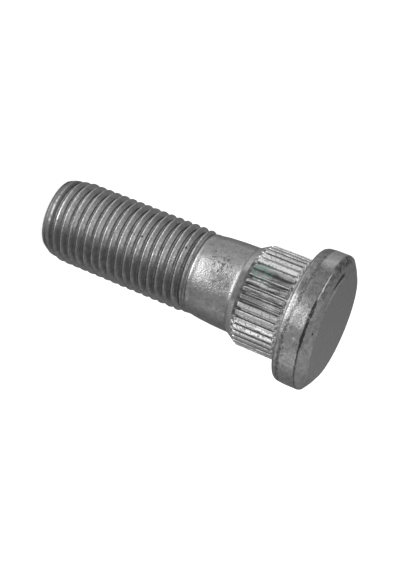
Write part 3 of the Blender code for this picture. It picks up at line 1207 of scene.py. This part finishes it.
# The studio: its even level, and each soft light's direction, half width in degrees and strength
STUDIO_LEVEL = 0.22
STUDIO_LIGHTS = (
    ((-0.05, -0.67, -0.74), 31, 2.1),
    ((-0.6, -0.62, -0.5), 32, 0.42),
    ((-0.45, 0.0, 0.89), 24, 0.6),
    ((-0.14, -0.43, 0.89), 24, 0.66),
    ((0.4, 0.5, 0.77), 30, 0.3),
    ((0.95, -0.16, -0.28), 22, 0.8),
    ((-0.92, -0.25, -0.28), 60, 0.42),
    ((0.45, -0.85, -0.28), 24, 0.3),
    ((0.0, 0.2, -0.98), 40, 0.3),
)
# Share of a light's half width over which it has its full strength
LIGHT_CORE = 0.2

FLOOR_SIZE = 6.0
FLOOR_GAP = 0.02 * MM
FLOOR_GLOW = 0.8
FLOOR_LIGHT_TOWARD = Vector((0, 0.1, 1))
FLOOR_LIGHT_DISTANCE = 1.2
FLOOR_LIGHT_SIZE = 2.0
FLOOR_LIGHT_LEVEL = 0.4

# The camera, fitted to the photograph: focal length on a 36 mm sensor, place, downward tilt and roll
CAMERA_LENS = 75.79
CAMERA_SENSOR = 36
CAMERA_NEAR = 0.01
CAMERA_PLACE = (0.001617, -0.1541, 0.0754)
CAMERA_DOWN = 18.65
CAMERA_ROLL = 112.4


def studio_world():
    """A dim, even studio with a few soft lights far off."""
    world = bpy.data.worlds.new("studio")
    world.use_nodes = True
    tree = world.node_tree
    seen = tree.nodes.new("ShaderNodeTexCoord").outputs["Generated"]
    strength = STUDIO_LEVEL
    for direction, half_width, level in STUDIO_LIGHTS:
        facing = calculate_vector(tree, "DOT_PRODUCT", seen, Vector(direction).normalized())["Value"]
        edge = math.cos(math.radians(half_width))
        core = math.cos(math.radians(half_width * LIGHT_CORE))
        strength = calculate(tree, "MULTIPLY_ADD", fade(tree, facing, edge, core), level, strength)
    background = tree.nodes["Background"]
    connect(tree, strength, background.inputs["Strength"])
    background.inputs["Color"].default_value = (1, 1, 1, 1)
    return world


def paper_material(tint):
    """Matt paper that glows a little, so that the floor stays pale."""
    material = bpy.data.materials.new("paper")
    material.use_nodes = True
    surface = material.node_tree.nodes["Principled BSDF"]
    surface.inputs["Base Color"].default_value = (*tint, 1)
    surface.inputs["Roughness"].default_value = 1.0
    surface.inputs["Specular IOR Level"].default_value = 0.0
    surface.inputs["Emission Color"].default_value = (1, 1, 1, 1)
    surface.inputs["Emission Strength"].default_value = FLOOR_GLOW
    return material


def add_floor_light(scene):
    """A wide soft light over the floor, which doesn't show in the stud's reflections."""
    toward = FLOOR_LIGHT_TOWARD.normalized()
    data = bpy.data.lights.new("floor_light", "AREA")
    data.size = FLOOR_LIGHT_SIZE
    data.energy = FLOOR_LIGHT_LEVEL * math.pi * FLOOR_LIGHT_SIZE**2
    light = bpy.data.objects.new("floor_light", data)
    light.location = Vector((0, 0, HEAD_END / 2)) + toward * FLOOR_LIGHT_DISTANCE
    light.rotation_euler = toward.to_track_quat("Z", "Y").to_euler()
    light.visible_glossy = False
    scene.collection.objects.link(light)


def add_camera(scene):
    """The camera at the photograph's viewpoint."""
    data = bpy.data.cameras.new("camera")
    data.sensor_width = CAMERA_SENSOR
    data.lens = CAMERA_LENS
    data.clip_start = CAMERA_NEAR
    camera = bpy.data.objects.new("camera", data)
    camera.matrix_world = (
        Matrix.Translation(CAMERA_PLACE)
        @ Matrix.Rotation(math.radians(90 - CAMERA_DOWN), 4, "X")
        @ Matrix.Rotation(math.radians(CAMERA_ROLL), 4, "Z")
    )
    scene.collection.objects.link(camera)
    scene.camera = camera


class WHEELSTUD_OT_stage(bpy.types.Operator):
    """Add the pale floor, the soft studio lights and the camera"""

    bl_idname = "wheelstud.stage"
    bl_label = "Stage"

    def execute(self, context):
        scene = context.scene
        deselect_all()
        bpy.ops.mesh.primitive_plane_add(size=FLOOR_SIZE, location=(0, 0, -FLOOR_GAP))
        floor = context.object
        floor.name = "floor"
        floor.visible_glossy = False
        floor.visible_shadow = False
        floor.data.materials.append(paper_material(scene.stud_finish.floor))
        scene.world = studio_world()
        add_floor_light(scene)
        add_camera(scene)
        scene.view_settings.view_transform = "Standard"
        return {"FINISHED"}


class WHEELSTUD_PT_panel(bpy.types.Panel):
    """Lists the steps and the sizes of the stud"""

    bl_idname = "WHEELSTUD_PT_panel"
    bl_label = "Wheel Stud"
    bl_space_type = "VIEW_3D"
    bl_region_type = "UI"
    bl_category = "Wheel Stud"

    def draw(self, context):
        self.layout.operator(WHEELSTUD_OT_stud.bl_idname)
        self.layout.operator(WHEELSTUD_OT_stage.bl_idname)
        for name, settings in SETTINGS.items():
            box = self.layout.box()
            for label in settings.__annotations__:
                box.prop(getattr(context.scene, name), label)


SETTINGS = {
    "stud_thread": ThreadSettings,
    "stud_shank": ShankSettings,
    "stud_knurl": KnurlSettings,
    "stud_head": HeadSettings,
    "stud_finish": FinishSettings,
}
CLASSES = (*SETTINGS.values(), WHEELSTUD_OT_stud, WHEELSTUD_OT_stage, WHEELSTUD_PT_panel)


def register():
    for cls in CLASSES:
        bpy.utils.register_class(cls)
    for name, settings in SETTINGS.items():
        setattr(bpy.types.Scene, name, bpy.props.PointerProperty(type=settings))


def unregister():
    for name in SETTINGS:
        delattr(bpy.types.Scene, name)
    for cls in reversed(CLASSES):
        bpy.utils.unregister_class(cls)


def main():
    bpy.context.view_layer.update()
    register()
    bpy.ops.wheelstud.stud()
    bpy.ops.wheelstud.stage()


if __name__ == "__main__":
    main()
